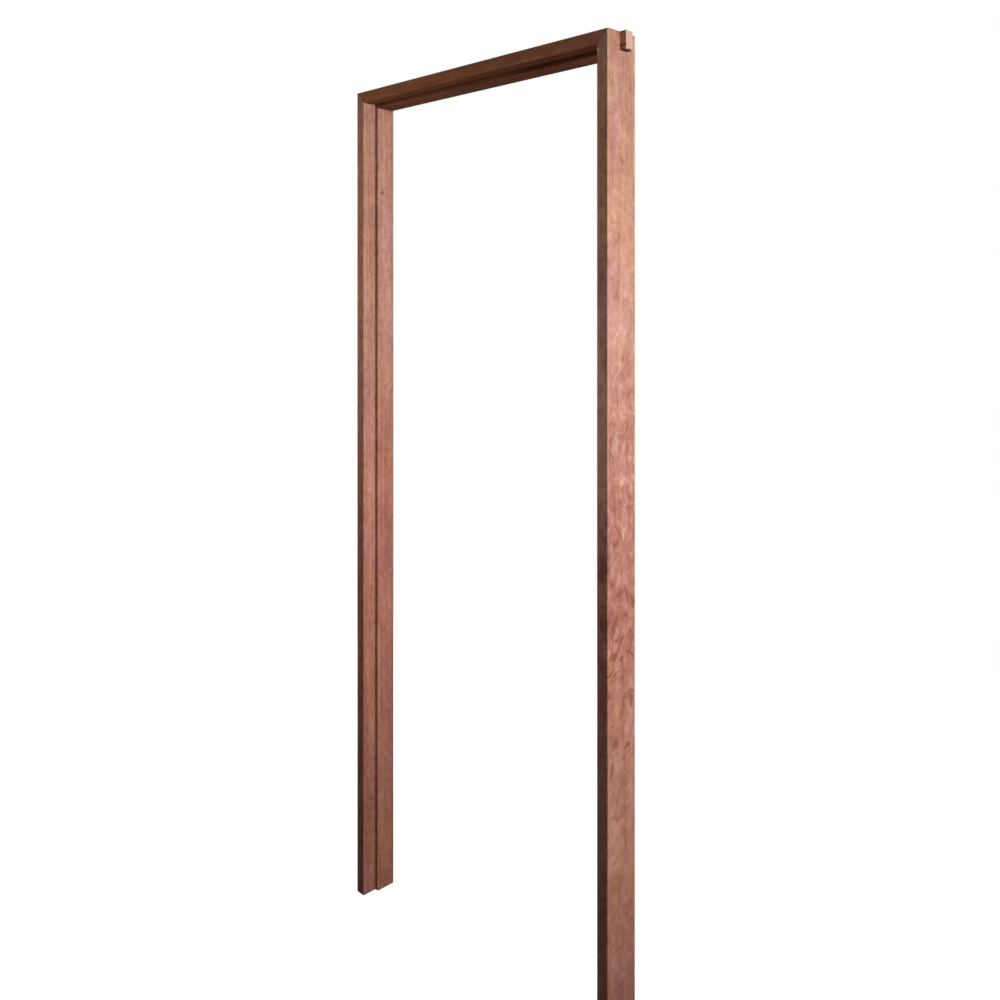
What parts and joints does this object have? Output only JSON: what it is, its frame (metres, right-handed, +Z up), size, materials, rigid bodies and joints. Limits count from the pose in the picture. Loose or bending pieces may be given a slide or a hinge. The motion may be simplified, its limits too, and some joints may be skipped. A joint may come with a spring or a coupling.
{
  "type": "wooden door frame",
  "caption": "Rebated hardwood door frame with two jambs and a head, mitred at the front and joined by proud through tenons.",
  "frame": {"origin": "on the floor, halfway between the jambs' outer faces and halfway through the frame's depth", "axes": "+Z up along the jambs, +X across the doorway to the right jamb, -Y towards the rebated front"},
  "size_m": [0.856, 0.09, 2.066],
  "materials": {
    "jamb_wood": "planed bare red hardwood",
    "head_wood": "planed bare red hardwood",
    "dowel_wood": "pale hardwood, cut flush"
  },
  "bodies": {
    "root": {"left_jamb": "jamb_wood", "right_jamb": "jamb_wood", "head": "head_wood", "left_dowel": "dowel_wood", "right_dowel": "dowel_wood"}
  },
  "joints": []
}
